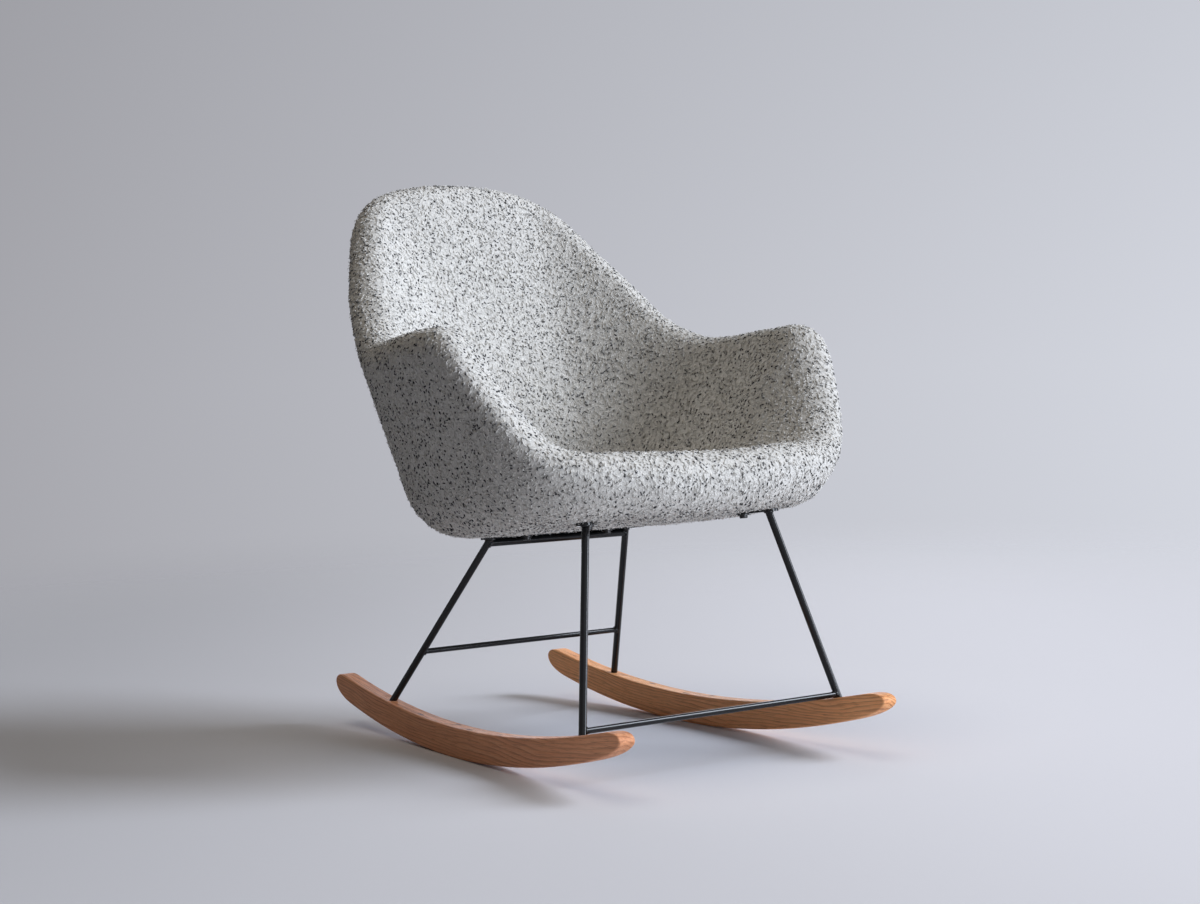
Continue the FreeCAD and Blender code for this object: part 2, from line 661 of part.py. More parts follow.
os.makedirs("parts", exist_ok=True)
for name, shape in NODES.items():
    one_solid(shape).exportStep("parts/%s.step" % name)
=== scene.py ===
import math

import bmesh
import bpy
import numpy as np
from mathutils import Matrix, Vector, noise
from mathutils.bvhtree import BVHTree


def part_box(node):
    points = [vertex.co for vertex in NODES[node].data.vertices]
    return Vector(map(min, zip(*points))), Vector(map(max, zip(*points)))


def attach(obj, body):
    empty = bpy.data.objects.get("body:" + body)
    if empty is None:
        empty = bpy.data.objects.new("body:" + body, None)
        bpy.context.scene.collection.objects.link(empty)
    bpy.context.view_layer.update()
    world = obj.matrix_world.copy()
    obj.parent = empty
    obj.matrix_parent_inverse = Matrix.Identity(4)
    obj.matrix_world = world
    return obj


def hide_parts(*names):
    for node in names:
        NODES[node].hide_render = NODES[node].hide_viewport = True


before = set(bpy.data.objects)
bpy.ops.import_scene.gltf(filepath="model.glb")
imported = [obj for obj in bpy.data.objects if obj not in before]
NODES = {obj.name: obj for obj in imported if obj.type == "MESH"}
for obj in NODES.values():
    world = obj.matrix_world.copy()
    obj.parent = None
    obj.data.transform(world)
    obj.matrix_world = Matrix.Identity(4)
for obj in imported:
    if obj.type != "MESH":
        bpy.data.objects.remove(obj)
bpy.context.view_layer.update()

# Upholstered rocking chair: flecked boucle over a padded bucket, black rod base, oak rockers.
# Metres, +Z up, the chair faces -Y, in the frame of the CAD nodes.

SCENE = bpy.context.scene
MM = 0.001

# Camera: where it stands, its turn, its lens in pixels of the photograph's width, and its clipping
CAMERA_PLACE = (-1.5623, -2.2826, 0.5072)
CAMERA_YAW = math.radians(34.81)
CAMERA_PITCH = math.radians(2.185)
CAMERA_ROLL = math.radians(-1.375)
FOCAL_PIXELS = 2000.0
FRAME_PIXELS = 1200.0
SENSOR = 36.0
CLIP = (0.05, 100.0)

# Cover: what it stands for and is clamped by, the skin's voxel and inset, and the simulation's
# pressure, hold and cap.
SOFT_NODES = ("inner_cover", "outer_cover", "seat_foam", "back_foam",
              "left_arm_foam", "right_arm_foam", "outer_foam")
FILL_NODES = SOFT_NODES + ("seat_shell", "rubber_spacers", "t_nuts")
FITTINGS = ("front_leg_plates", "rear_mount_strip", "rear_cross_bar", "left_front_leg",
            "right_front_leg", "left_rear_leg", "right_rear_leg")
VOXEL = 6.9 * MM
SKIN_INSET = 1.0 * MM
SMOOTH_ROUNDS = 4
SMOOTH_SHARE = 0.5
FITTING_NEAR = 6.0 * MM
FITTING_FAR = 40.0 * MM
PRESSURE = 8.0
FOAM_HOLD = 0.14
SLACK = -0.01
SIM_FRAMES = 12
SIM_QUALITY = 4
MOVE_CAP = 6.0 * MM
SPREAD_ROUNDS = 24

# Unevenness of the cover: hand-stretched waves and the nubs of the yarn
WAVE_SIZE = 75.0 * MM
WAVE_HEIGHT = 0.7 * MM
NUB_SIZE = 9.0 * MM
NUB_HEIGHT = 0.8 * MM
NUB_MEAN = 0.45

# Pile: tufts per square metre, the shares that are dark flecks, grey flecks and thin stray fibres,
# the size, rise and tone of each kind, and how they lie
PILE_SEED = 7
TUFT_DENSITY = 62000.0
DARK_SHARE = 0.145
GREY_SHARE = 0.07
STRAY_SHARE = 0.10
TUFT_LENGTH = (6.0 * MM, 9.5 * MM)
TUFT_WIDTH = (1.5 * MM, 2.4 * MM)
FLECK_LENGTH = (3.2 * MM, 5.6 * MM)
FLECK_WIDTH = (1.8 * MM, 2.8 * MM)
STRAY_WIDTH = (0.8 * MM, 1.2 * MM)
TUFT_RISE = (0.15, 0.60)
FLECK_RISE = (0.25, 0.60)
STRAY_RISE = (0.70, 1.35)
DARK_TONE = (0.0, 0.14)
GREY_TONE = (0.14, 0.28)
PALE_TONE = (0.3, 1.0)
TUFT_DROOP = (-0.35, 0.05)
FLECK_LIFT = 0.7 * MM
TUFT_LIE = (0.0, -0.25, -1.0)
TUFT_SCATTER = 0.25
TUFT_SWAY = 0.85
TUFT_CURL = 0.7
TUFT_TAPER = 0.85
TUFT_SINK = 0.8 * MM
TUFT_CLEAR = 5.0 * MM
# In the bake map each tuft has a cell of its own, with its three sides beside each other
BAKE_SIDE = 0.3
BAKE_MARGIN = 0.08
PILE_PARTS = ("pile_front", "pile_right", "pile_back", "pile_left")

# Weld beads: thickness, ripple, and the points round and along one. A rod's end is taken from
# the points beyond WELD_RIM of its reach.
WELD_RADIUS = 1.7 * MM
WELD_RIPPLE = 0.08
WELD_RIM = 0.8
WELD_SIDES = 8
WELD_STEPS = 28

# Keeps a division, and a tuft that stands straight up, from having no direction
TINY = 1e-9
NUDGE = 1e-6


# Node materials
class Look:
    """A material and short calls for the nodes that it is made of."""

    def __init__(self, name, **shader):
        self.material = bpy.data.materials.new(name)
        self.material.use_nodes = True
        self.tree = self.material.node_tree
        self.shader = self.tree.nodes["Principled BSDF"]
        self.set(self.shader, shader)

    def set(self, node, inputs):
        for key, value in inputs.items():
            socket = node.inputs[key.replace("_", " ") if isinstance(key, str) else key]
            if isinstance(value, bpy.types.NodeSocket):
                self.tree.links.new(value, socket)
            else:
                socket.default_value = value

    def node(self, kind, inputs=None, **settings):
        made = self.tree.nodes.new("ShaderNode" + kind)
        for key, value in settings.items():
            setattr(made, key, value)
        self.set(made, inputs or {})
        return made

    def place(self):
        """The point in the part's frame."""
        return self.node("TexCoord").outputs["Object"]

    def math(self, operation, a, b=0.0):
        return self.node("Math", {0: a, 1: b}, operation=operation).outputs[0]

    def vector(self, operation, a, b):
        return self.node("VectorMath", {0: a, 1: b}, operation=operation).outputs[0]

    def noise(self, vector, scale, detail=2.0, roughness=0.5):
        made = self.node("TexNoise", {"Vector": vector, "Scale": scale, "Detail": detail,
                                      "Roughness": roughness})
        return made.outputs["Fac"]

    def cells(self, vector, scale):
        return self.node("TexVoronoi", {"Vector": vector, "Scale": scale})

    def step(self, value, low, high, to_low=0.0, to_high=1.0):
        made = self.node("MapRange", {0: value, 1: low, 2: high, 3: to_low, 4: to_high},
                         interpolation_type="SMOOTHSTEP")
        return made.outputs[0]

    def ramp(self, value, stops):
        made = self.node("ValToRGB", {0: value})
        ramp = made.color_ramp
        while len(ramp.elements) < len(stops):
            ramp.elements.new(0.5)
        for element, (position, colour) in zip(ramp.elements, stops):
            element.position = position
            element.color = (*colour, 1.0)
        return made.outputs[0]

    def mix(self, share, a, b, blend="MIX"):
        made = self.node("Mix", {0: share}, data_type="RGBA", blend_type=blend)
        for index, value in ((6, a), (7, b)):
            if isinstance(value, tuple):
                value = (*value, 1.0)
            self.set(made, {index: value})
        return made.outputs[2]

    def grey(self, value):
        return self.node("CombineColor", {0: value, 1: value, 2: value}).outputs[0]

    def bump(self, height, strength, distance):
        made = self.node("Bump", {"Height": height, "Strength": strength, "Distance": distance})
        self.set(self.shader, {"Normal": made.outputs[0]})

    def finish(self, **inputs):
        self.set(self.shader, inputs)
        return self.material


# Materials: scales are in cells or waves per metre, and a stop is a place on a ramp with its colour
YARN_STOPS = ((0.0, (0.016, 0.016, 0.017)), (0.10, (0.045, 0.044, 0.045)), (0.20, (0.22, 0.215, 0.205)),
              (0.30, (0.62, 0.598, 0.560)), (1.0, (0.735, 0.71, 0.665)))
GROUND_STOPS = ((0.0, (0.55, 0.53, 0.495)), (1.0, (0.70, 0.675, 0.63)))
CLOTH_SPECULAR = 0.15
WARP_SCALE, WARP_REACH = 130.0, (0.006, 0.006, 0.006)
YARN_SCALE, YARN_DRAW = 380.0, (1.0, 1.0, 0.62)
# The third loop value is painted shade: how much darker the gaps between the yarn loops are painted.
LOOP_SCALE, LOOP_DEPTH, LOOP_PAINTED_SHADE = 420.0, 0.85, 0.86
FUZZ_SCALE, FUZZ_SHARE = 1500.0, 0.5
FIBRE_SCALE, FIBRE_SHADE = 900.0, (0.86, 1.05)


def boucle_look():
    """Ground of the boucle, seen between the tufts: curled yarn in off-white, with painted shade between
    its loops.
    """
    look = Look("boucle", Roughness=0.95, Sheen_Weight=0.25, Sheen_Roughness=0.6)
    look.set(look.shader, {"Specular IOR Level": CLOTH_SPECULAR})
    place = look.place()
    warp = look.node("TexNoise", {"Vector": place, "Scale": WARP_SCALE, "Detail": 2.0}).outputs["Color"]
    bent = look.node("VectorMath", {0: warp, 1: WARP_REACH, 2: place}, operation="MULTIPLY_ADD").outputs[0]
    drawn = look.vector("MULTIPLY", bent, YARN_DRAW)
    yarn = look.cells(drawn, YARN_SCALE)
    tone = look.node("SeparateColor", {0: yarn.outputs["Color"]}).outputs[0]
    colour = look.ramp(tone, GROUND_STOPS)
    loops = look.cells(bent, LOOP_SCALE).outputs["Distance"]
    fuzz = look.noise(place, FUZZ_SCALE, 3.0)
    # Painted shade: the colour darkens towards each loop's edge, where the bump sinks between the loops.
    shade = look.step(loops, 0.0, LOOP_DEPTH, 1.0, LOOP_PAINTED_SHADE)
    colour = look.mix(1.0, colour, look.grey(shade), "MULTIPLY")
    look.bump(look.math("SUBTRACT", look.math("MULTIPLY", fuzz, FUZZ_SHARE), loops), 0.6, 1.0 * MM)
    return look.finish(Base_Color=colour)


def pile_look():
    """Tufts of the boucle: one tone for each tuft, with a fibre's unevenness."""
    look = Look("boucle_pile", Roughness=0.9, Sheen_Weight=0.3, Sheen_Roughness=0.55)
    look.set(look.shader, {"Specular IOR Level": CLOTH_SPECULAR})
    tone = look.node("Attribute", attribute_name="tone").outputs["Fac"]
    fibre = look.noise(look.place(), FIBRE_SCALE, 2.0)
    shade = look.step(fibre, 0.25, 0.75, *FIBRE_SHADE)
    colour = look.mix(1.0, look.ramp(tone, YARN_STOPS), look.grey(shade), "MULTIPLY")
    look.bump(fibre, 0.35, 0.4 * MM)
    return look.finish(Base_Color=colour)


# Oak: the rockers' arc, toe and distance from the middle, as in the CAD, so that the grain follows them
ROCKER_CONTACT_Y = 0.031
ROCKER_RADIUS = 1.344
ROCKER_MIDDLE = 0.199
ROCKER_TOE = math.tan(math.radians(1.6))
# How far the grain bows with the arc and tilts along it
GRAIN_BOW = 0.62
GRAIN_TILT = 0.03
RING_SCALE, RING_SWAY, RING_SLANT, RING_EDGE = 210.0, 8.0, 45.0, 2.2
SWAY_SCALE = (20.0, 4.0, 20.0)
GRAIN_SCALE = (230.0, 6.0, 420.0)
PORE_SCALE, PORE_SPAN = (1100.0, 32.0, 1500.0), (0.54, 0.68)
CLOUD_SCALE = (14.0, 9.0, 30.0)
LATE_SHARE, GRAIN_SHARE, PORE_SHARE, KNOT_SHARE = 0.30, 0.85, 0.6, 0.8
OAK_STOPS = ((0.34, (0.97, 0.52, 0.245)), (0.50, (0.90, 0.40, 0.165)), (0.68, (0.48, 0.185, 0.072)))
OAK_CLOUD = (0.95, 0.475, 0.215)
OAK_PORE = (0.20, 0.078, 0.036)
OAK_KNOT = (0.13, 0.055, 0.026)
OAK_WORN = (0.95, 0.53, 0.28)
OAK_SPECULAR = 0.15
# The right rocker is painted darker and redder than the left: painted shade for the rocker that stands in
# shade, nearer the camera
RIGHT_ROCKER_PAINTED_SHADE = (0.80, 0.76, 0.90)
# Small knots on the rockers' tops, each by its place along and across, and the reach of one
KNOTS = ((0.128, 0.004), (0.036, -0.005), (-0.010, 0.005))
KNOT_ALONG, KNOT_ACROSS = 8.5 * MM, 3.2 * MM
TOP_BAND = (30.0 * MM, 38.0 * MM)
EDGE_BAND = (9.5 * MM, 11.8 * MM)
# Span round the chair's middle over which the right rocker's painted shade fades in
PAINTED_SHADE_SPAN = 10.0 * MM


def oak_look():
    """Oiled oak: rings along the rocker, open pores, clouds, a few small knots on top, worn edges, and
    painted shade on the right rocker.
    """
    look = Look("oak")
    look.set(look.shader, {"Specular IOR Level": OAK_SPECULAR})
    x, y, z = look.node("SeparateXYZ", {0: look.place()}).outputs
    along = look.math("SUBTRACT", y, ROCKER_CONTACT_Y)
    bow = look.math("MULTIPLY", look.math("MULTIPLY", along, along), GRAIN_BOW / (2.0 * ROCKER_RADIUS))
    tilt = look.math("MULTIPLY", along, GRAIN_TILT)
    level = look.math("SUBTRACT", look.math("SUBTRACT", z, bow), tilt)
    point = look.node("CombineXYZ", {0: x, 1: along, 2: level}).outputs[0]
    sway = look.noise(look.vector("MULTIPLY", point, SWAY_SCALE), 1.0, 2.0)
    ring_at = look.math("MULTIPLY", level, RING_SCALE)
    ring_at = look.math("ADD", ring_at, look.math("MULTIPLY", sway, RING_SWAY))
    ring_at = look.math("ADD", ring_at, look.math("MULTIPLY", x, RING_SLANT))
    late = look.math("POWER", look.math("FRACT", ring_at), RING_EDGE)
    grain = look.noise(look.vector("MULTIPLY", point, GRAIN_SCALE), 1.0, 4.0, 0.6)
    pores = look.noise(look.vector("MULTIPLY", point, PORE_SCALE), 1.0, 2.0, 0.6)
    pore = look.step(pores, *PORE_SPAN)
    cloud = look.noise(look.vector("MULTIPLY", point, CLOUD_SCALE), 1.0, 2.0)
    figure = look.math("MULTIPLY", late, LATE_SHARE)
    figure = look.math("ADD", figure, look.math("MULTIPLY", grain, GRAIN_SHARE))
    colour = look.ramp(figure, OAK_STOPS)
    colour = look.mix(look.step(cloud, 0.3, 0.75, 0.0, 0.45), colour, OAK_CLOUD)
    colour = look.mix(look.math("MULTIPLY", pore, PORE_SHARE), colour, OAK_PORE)
    middle = look.math("SUBTRACT", ROCKER_MIDDLE, look.math("MULTIPLY", y, ROCKER_TOE))
    side = look.math("SUBTRACT", look.math("ABSOLUTE", x), middle)
    top = look.step(level, *TOP_BAND)
    for knot_y, knot_x in KNOTS:
        dx = look.math("DIVIDE", look.math("SUBTRACT", side, knot_x), KNOT_ACROSS)
        dy = look.math("DIVIDE", look.math("SUBTRACT", y, knot_y), KNOT_ALONG)
        far = look.math("ADD", look.math("MULTIPLY", dx, dx), look.math("MULTIPLY", dy, dy))
        spot = look.math("MULTIPLY", look.step(far, 0.15, 1.3, 1.0, 0.0), top)
        colour = look.mix(look.math("MULTIPLY", spot, KNOT_SHARE), colour, OAK_KNOT)
    worn = look.step(look.math("ABSOLUTE", side), *EDGE_BAND)
    worn = look.math("MULTIPLY", worn, look.step(grain, 0.35, 0.7, 0.1, 0.4))
    colour = look.mix(worn, colour, OAK_WORN)
    # Painted shade: the right rocker's colour is multiplied darker and redder.
    colour = look.mix(look.step(x, -PAINTED_SHADE_SPAN, PAINTED_SHADE_SPAN, 1.0, 0.0), colour, RIGHT_ROCKER_PAINTED_SHADE, "MULTIPLY")
    look.bump(look.math("SUBTRACT", look.math("MULTIPLY", grain, 0.3), pore), 0.35, 0.25 * MM)
    rough = look.math("ADD", look.math("MULTIPLY", pore, 0.2), look.step(cloud, 0.2, 0.8, 0.42, 0.56))
    return look.finish(Base_Color=colour, Roughness=rough)


STEEL_STOPS = ((0.3, (0.0050, 0.0050, 0.0056)), (0.7, (0.0095, 0.0095, 0.0100)))
STEEL_DUST = (0.045, 0.044, 0.042)
STEEL_SPECULAR = 0.34
PEEL_SCALE, PATCH_SCALE, SPECK_SCALE = 1300.0, 38.0, 420.0


def steel_look():
    """Black powder coat: fine orange peel and a little dust."""
    look = Look("black_steel", Metallic=0.0)
    look.set(look.shader, {"Specular IOR Level": STEEL_SPECULAR})
    place = look.place()
    peel = look.noise(place, PEEL_SCALE, 2.0)
    patch = look.noise(place, PATCH_SCALE, 4.0, 0.6)
    speck = look.noise(place, SPECK_SCALE, 3.0, 0.6)
    colour = look.ramp(patch, STEEL_STOPS)
    colour = look.mix(look.step(speck, 0.68, 0.80, 0.0, 0.25), colour, STEEL_DUST)
    look.bump(peel, 0.05, 0.10 * MM)
    rough = look.math("ADD", look.step(patch, 0.3, 0.7, 0.09, 0.13), look.math("MULTIPLY", speck, 0.04))
    return look.finish(Base_Color=colour, Roughness=rough)


OXIDE_STOPS = ((0.3, (0.040, 0.040, 0.043)), (0.7, (0.066, 0.064, 0.062)))
TURNED_SCALE, SPOT_SCALE = (300.0, 300.0, 3200.0), 260.0


def dark_steel_look():
    """Black oxide on steel: a dark sheen with a turned finish and dull spots."""
    look = Look("dark_steel", Metallic=1.0)
    place = look.place()
    marks = look.noise(look.vector("MULTIPLY", place, TURNED_SCALE), 1.0, 2.0)
    spot = look.noise(place, SPOT_SCALE, 4.0, 0.65)
    look.bump(marks, 0.1, 0.1 * MM)
    rough = look.math("ADD", look.step(spot, 0.3, 0.75, 0.30, 0.46), look.math("MULTIPLY", marks, 0.08))
    return look.finish(Base_Color=look.ramp(spot, OXIDE_STOPS), Roughness=rough)


MOULDED_SPECULAR = 0.35
BLOOM_SCALE = 45.0
MOULDED_DULLING = 0.12


def moulded_look(name, dark, pale, scale, rough):
    """Moulded rubber or plastic: a fine grain and a dusty bloom."""
    look = Look(name)
    look.set(look.shader, {"Specular IOR Level": MOULDED_SPECULAR})
    place = look.place()
    grain = look.cells(place, scale).outputs["Distance"]
    bloom = look.noise(place, BLOOM_SCALE, 4.0, 0.6)
    look.bump(grain, 0.25, 0.2 * MM)
    colour = look.mix(look.step(bloom, 0.35, 0.75), dark, pale)
    dull = look.step(grain, 0.0, 0.9, rough, rough + MOULDED_DULLING)
    return look.finish(Base_Color=colour, Roughness=dull)


def wear(look_material, *nodes):
    """Gives CAD nodes, or pieces, one material."""
    for item in nodes:
        mesh = (NODES[item] if isinstance(item, str) else item).data
        mesh.materials.clear()
        mesh.materials.append(look_material)


# Mesh helpers
def linked(name, mesh):
    made = bpy.data.objects.new(name, mesh)
    SCENE.collection.objects.link(made)
    return made


def values(items, name, width, kind=np.float32):
    found = np.empty(len(items) * width, kind)
    items.foreach_get(name, found)
    return found.reshape(-1, width)


def points_of(mesh):
    return values(mesh.vertices, "co", 3).astype(float)


def normals_of(mesh):
    return values(mesh.vertex_normals, "vector", 3).astype(float)


def move_points(mesh, points):
    mesh.vertices.foreach_set("co", np.ascontiguousarray(points, np.float32).ravel())
    mesh.update()


def with_modifiers(obj):
    """Replaces obj's mesh by what its modifiers make of it."""
    graph = bpy.context.evaluated_depsgraph_get()
    made = bpy.data.meshes.new_from_object(obj.evaluated_get(graph))
    old = obj.data
    obj.modifiers.clear()
    obj.data = made
    bpy.data.meshes.remove(old)


def triangle_mesh(name, points, triangles, corners=None, tones=None):
    """A smooth mesh from arrays, with a bake map and a tone for each point where these are given."""
    mesh = bpy.data.meshes.new(name)
    mesh.vertices.add(len(points))
    mesh.loops.add(triangles.size)
    mesh.polygons.add(len(triangles))
    mesh.vertices.foreach_set("co", points.astype(np.float32).ravel())
    mesh.loops.foreach_set("vertex_index", triangles.astype(np.int32).ravel())
    mesh.polygons.foreach_set("loop_start", np.arange(0, triangles.size, 3, dtype=np.int32))
    mesh.polygons.foreach_set("use_smooth", np.ones(len(triangles), bool))
    if corners is not None:
        mesh.uv_layers.new(name="OFBake").uv.foreach_set("vector", corners.astype(np.float32).ravel())
    if tones is not None:
        mesh.attributes.new("tone", "FLOAT", "POINT").data.foreach_set("value", tones.astype(np.float32))
    mesh.update(calc_edges=True)
    mesh.validate()
    return mesh


def nearness(points, nodes):
    """Distance of each point to the nearest of these CAD nodes."""
    trees = [BVHTree.FromPolygons([v.co for v in NODES[n].data.vertices],
                                  [p.vertices[:] for p in NODES[n].data.polygons]) for n in nodes]
    reach = FITTING_FAR
    found = np.full(len(points), reach)
    for i, p in enumerate(points):
        for tree in trees:
            distance = tree.find_nearest(p, reach)[3]
            if distance is not None and distance < found[i]:
                found[i] = distance
    return found


# Cover
def largest_island(mesh):
    """Deletes all but the largest connected part, and smooths that."""
    bm = bmesh.new()
    bm.from_mesh(mesh)
    bm.verts.ensure_lookup_table()
    seen, islands = set(), []
    for start in bm.verts:
        if start in seen:
            continue
        island, queue = [], [start]
        seen.add(start)
        while queue:
            vert = queue.pop()
            island.append(vert)
            for edge in vert.link_edges:
                other = edge.other_vert(vert)
                if other not in seen:
                    seen.add(other)
                    queue.append(other)
        islands.append(island)
    islands.sort(key=len)
    for island in islands[:-1]:
        bmesh.ops.delete(bm, geom=island, context="VERTS")
    for _ in range(SMOOTH_ROUNDS):
        bmesh.ops.smooth_vert(bm, verts=bm.verts, factor=SMOOTH_SHARE,
                              use_axis_x=True, use_axis_y=True, use_axis_z=True)
    bm.to_mesh(mesh)
    bm.free()


def skin():
    """One closed skin round the padding, a little inside the cover. With it comes how free each point
    is to move, from 0 at the fittings to 1 away from them."""
    bm = bmesh.new()
    for node in FILL_NODES:
        bm.from_mesh(NODES[node].data)
    mesh = bpy.data.meshes.new("boucle_cover")
    bm.to_mesh(mesh)
    bm.free()
    cover = linked("boucle_cover", mesh)
    remesh = cover.modifiers.new("skin", "REMESH")
    remesh.mode = "VOXEL"
    remesh.voxel_size = VOXEL
    with_modifiers(cover)
    largest_island(cover.data)
    points = points_of(cover.data)
    near = nearness(points, FITTINGS)
    free = np.clip((near - FITTING_NEAR) / (FITTING_FAR - FITTING_NEAR), 0.0, 1.0)
    free = free * free * (3.0 - 2.0 * free)
    move_points(cover.data, points - normals_of(cover.data) * (SKIN_INSET * free)[:, None])
    return cover, free


def evened(mesh, rows):
    """Rows for the points of a mesh, evened out between neighbours."""
    ends = values(mesh.edges, "vertices", 2, np.int32)
    ends = np.concatenate([ends, ends[:, ::-1]])
    total = len(rows)
    neighbours = np.maximum(np.bincount(ends[:, 0], minlength=total), 1)
    for _ in range(SPREAD_ROUNDS):
        sums = np.stack([np.bincount(ends[:, 0], rows[ends[:, 1], k], total) for k in range(3)], 1)
        rows = (rows + sums / neighbours[:, None]) / 2.0
    return rows


def inflate(cover, free):
    """Lets the padding press the cover out. The foam holds it softly, and the fittings clamp it."""
    start = points_of(cover.data)
    held = cover.vertex_groups.new(name="held")
    for index, share in enumerate(free):
        held.add([index], max(FOAM_HOLD, 1.0 - float(share)), "REPLACE")
    cloth = cover.modifiers.new("cloth", "CLOTH")
    cloth.settings.quality = SIM_QUALITY
    cloth.settings.use_pressure = True
    cloth.settings.uniform_pressure_force = PRESSURE
    cloth.settings.shrink_min = SLACK
    cloth.settings.effector_weights.gravity = 0.0
    cloth.settings.vertex_group_mass = "held"
    cloth.collision_settings.use_collision = False
    cloth.point_cache.frame_start = 1
    cloth.point_cache.frame_end = SIM_FRAMES
    for step in range(1, SIM_FRAMES + 1):
        SCENE.frame_set(step)
    with_modifiers(cover)
    cover.vertex_groups.clear()
    moved = points_of(cover.data) - start
    length = np.linalg.norm(moved, axis=1)
    share = np.minimum(1.0, MOVE_CAP / np.maximum(length, TINY))
    move_points(cover.data, start + evened(cover.data, moved * share[:, None]))
    SCENE.frame_set(1)


def uneven(mesh):
    """Waves of the hand-stretched cover and the nubs of its yarn."""
    points, normals = points_of(mesh), normals_of(mesh)
    rise = np.empty(len(points))
    for i, p in enumerate(points):
        place = Vector(p)
        nub = noise.voronoi(place / NUB_SIZE)[0][0]
        rise[i] = WAVE_HEIGHT * noise.noise(place / WAVE_SIZE) + NUB_HEIGHT * (NUB_MEAN - nub)
    move_points(mesh, points + normals * rise[:, None])


def make_cover():
    """The padded cover: a skin, pressed out, rounded and made uneven."""
    cover, free = skin()
    inflate(cover, free)
    rounding = cover.modifiers.new("rounding", "SUBSURF")
    rounding.levels = rounding.render_levels = 1
    with_modifiers(cover)
    uneven(cover.data)
    cover.data.polygons.foreach_set("use_smooth", np.ones(len(cover.data.polygons), bool))
    return cover


# Pile
def unit(rows):
    return rows / np.maximum(np.linalg.norm(rows, axis=1), TINY)[:, None]


def turned(rows, axes, angles):
    """Each row turned about its axis, to which it is square."""
    return rows * np.cos(angles)[:, None] + np.cross(axes, rows) * np.sin(angles)[:, None]


def scattered(mesh, density, rng):
    """Points spread evenly over the mesh, with their normals."""
    mesh.calc_loop_triangles()
    triangles = values(mesh.loop_triangles, "vertices", 3, np.int32)
    points, normals = points_of(mesh), normals_of(mesh)
    a, b, c = (points[triangles[:, k]] for k in range(3))
    total = np.cumsum(np.linalg.norm(np.cross(b - a, c - a), axis=1) / 2.0)
    count = int(total[-1] * density)
    chosen = np.searchsorted(total, (np.arange(count) + rng.random(count)) / count * total[-1])
    chosen = np.minimum(chosen, len(triangles) - 1)
    u, v = rng.random((2, count))
    over = u + v > 1.0
    u[over], v[over] = 1.0 - u[over], 1.0 - v[over]
    shares = np.stack([1.0 - u - v, u, v], 1)[:, :, None]
    corners = triangles[chosen]
    return (points[corners] * shares).sum(1), unit((normals[corners] * shares).sum(1))


def tufts(name, roots, normals, rng):
    """Short bent tufts, each a closed three-sided taper that leans with the pile."""
    count = len(roots)
    kind = rng.random(count)
    fleck = kind < DARK_SHARE + GREY_SHARE
    stray = kind > 1.0 - STRAY_SHARE
    tone = np.where(kind < DARK_SHARE, rng.uniform(*DARK_TONE, count), rng.uniform(*GREY_TONE, count))
    tone = np.where(fleck, tone, rng.uniform(*PALE_TONE, count))

    def drawn(span, fleck_span=None, stray_span=None):
        found = rng.uniform(*span, count)
        found = np.where(fleck, rng.uniform(*(fleck_span or span), count), found)
        return np.where(stray, rng.uniform(*(stray_span or span), count), found)

    down = np.array(TUFT_LIE) + rng.normal(0.0, TUFT_SCATTER, (count, 3))
    lean = unit(down - normals * (down * normals).sum(1)[:, None])
    lean = turned(lean, normals, rng.normal(0.0, TUFT_SWAY, count))
    curl = turned(lean, normals, rng.normal(0.0, TUFT_CURL, count))
    rise, droop = drawn(TUFT_RISE, FLECK_RISE, STRAY_RISE)[:, None], drawn(TUFT_DROOP)[:, None]
    half = drawn(TUFT_LENGTH, FLECK_LENGTH)[:, None] / 2.0
    thick = drawn(TUFT_WIDTH, FLECK_WIDTH, STRAY_WIDTH)[:, None] / 2.0
    first = lean * np.cos(rise) + normals * np.sin(rise)
    second = curl * np.cos(droop) + normals * np.sin(droop)
    base = roots + normals * np.where(fleck, FLECK_LIFT - TUFT_SINK, -TUFT_SINK)[:, None]
    middle = base + first * half
    tip = middle + second * half
    rings = []
    for centre, way, size in ((base, first, thick), (middle, unit(first + second), TUFT_TAPER * thick)):
        across = unit(np.cross(way, normals) + NUDGE)
        upright = np.cross(across, way)
        for angle in np.radians((90.0, 210.0, 330.0)):
            rings.append(centre + (across * math.cos(angle) + upright * math.sin(angle)) * size)
    points = np.stack(rings + [tip], 1)
    spare = 3.0 * BAKE_SIDE
    faces, flat = [(2, 1, 0)], [((spare, 0.0), ((spare + 1.0) / 2.0, 0.0), (1.0, 0.0))]
    for k in range(3):
        n = (k + 1) % 3
        left, right, peak = k * BAKE_SIDE, (k + 1) * BAKE_SIDE, (k + 0.5) * BAKE_SIDE
        faces += [(k, n, n + 3), (k, n + 3, k + 3), (k + 3, n + 3, 6)]
        flat += [((left, 0.0), (right, 0.0), (right, 0.5)), ((left, 0.0), (right, 0.5), (left, 0.5)),
                 ((left, 0.5), (right, 0.5), (peak, 1.0))]
    triangles = (np.arange(count)[:, None, None] * points.shape[1] + np.array(faces)).reshape(-1, 3)
    wide = math.ceil(math.sqrt(count))
    cell = np.stack([np.arange(count) % wide, np.arange(count) // wide], 1)[:, None, None, :]
    corners = (cell + BAKE_MARGIN + (1.0 - 2.0 * BAKE_MARGIN) * np.array(flat)) / wide
    tones = np.repeat(tone, points.shape[1])
    return linked(name, triangle_mesh(name, points.reshape(-1, 3), triangles, corners, tones))


